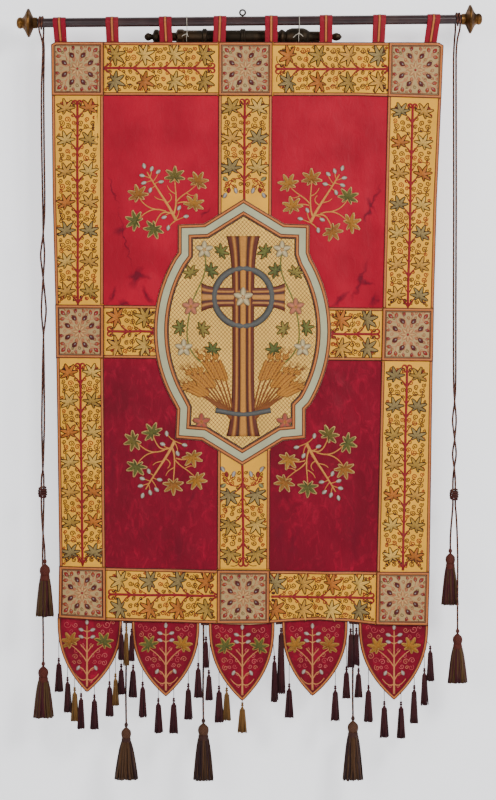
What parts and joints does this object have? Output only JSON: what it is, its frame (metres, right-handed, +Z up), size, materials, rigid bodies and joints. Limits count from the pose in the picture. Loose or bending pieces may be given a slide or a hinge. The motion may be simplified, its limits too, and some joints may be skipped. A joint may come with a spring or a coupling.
{
  "type": "church banner with its hanging rod",
  "caption": "Red cloth banner with embroidered gold bands, a lozenge medallion and a tasselled scalloped hem, hung by tabs on a turned rod with side cords.",
  "frame": {"origin": "middle of the iron eye on top of the rod, from which the banner hangs", "axes": "+Z up, +X to the viewer's right along the rod, +Y away from the viewer through the cloth"},
  "size_m": [1.5846, 0.1284, 2.6395],
  "materials": {
    "red_cloth": "crimson satin with a soft sheen",
    "gold_band": "gold-tan embroidered silk",
    "sage_square": "sage embroidered silk",
    "grey_green_border": "grey-green silk between gold braids",
    "cream_gold_field": "cream-gold silk with a brown lattice",
    "maroon_yarn": "maroon yarn with gold strands",
    "cord_yarn": "twisted maroon and tan cord",
    "dark_wood": "dark red-brown polish",
    "old_brass": "aged, turned",
    "dark_bronze": "dark, turned",
    "iron": "dark",
    "white_string": "plain cotton"
  },
  "bodies": {
    "root": {"ground_cloth": "red_cloth", "tab_1": "red_cloth", "tab_2": "red_cloth", "tab_3": "red_cloth", "tab_4": "red_cloth", "tab_5": "red_cloth", "tab_6": "red_cloth", "tab_7": "red_cloth", "tab_8": "red_cloth", "scallop_1": "red_cloth", "scallop_2": "red_cloth", "scallop_3": "red_cloth", "scallop_4": "red_cloth", "scallop_5": "red_cloth", "left_column": "gold_band", "right_column": "gold_band", "top_band": "gold_band", "foot_band": "gold_band", "middle_band_left": "gold_band", "middle_band_right": "gold_band", "centre_band_upper": "gold_band", "centre_band_lower": "gold_band", "square_top_left": "sage_square", "square_top_centre": "sage_square", "square_top_right": "sage_square", "square_middle_left": "sage_square", "square_middle_right": "sage_square", "square_foot_left": "sage_square", "square_foot_centre": "sage_square", "square_foot_right": "sage_square", "medallion_border": "grey_green_border", "medallion_field": "cream_gold_field", "fringe_1": "maroon_yarn", "fringe_2": "maroon_yarn", "fringe_3": "maroon_yarn", "fringe_4": "maroon_yarn", "fringe_5": "maroon_yarn", "left_upper_tassel": "maroon_yarn", "left_lower_tassel": "maroon_yarn", "right_upper_tassel": "maroon_yarn", "right_lower_tassel": "maroon_yarn", "left_hem_tassel": "maroon_yarn", "centre_hem_tassel": "maroon_yarn", "right_hem_tassel": "maroon_yarn", "left_cord_front": "cord_yarn", "left_cord_back": "cord_yarn", "right_cord_front": "cord_yarn", "right_cord_back": "cord_yarn", "left_knot": "cord_yarn", "right_knot": "cord_yarn", "left_hem_cord": "cord_yarn", "centre_hem_cord": "cord_yarn", "right_hem_cord": "cord_yarn", "rod": "dark_wood", "finial_left": "old_brass", "finial_right": "old_brass", "staff": "dark_bronze", "hanging_eye": "iron", "string_left": "white_string", "string_right": "white_string"}
  },
  "joints": []
}
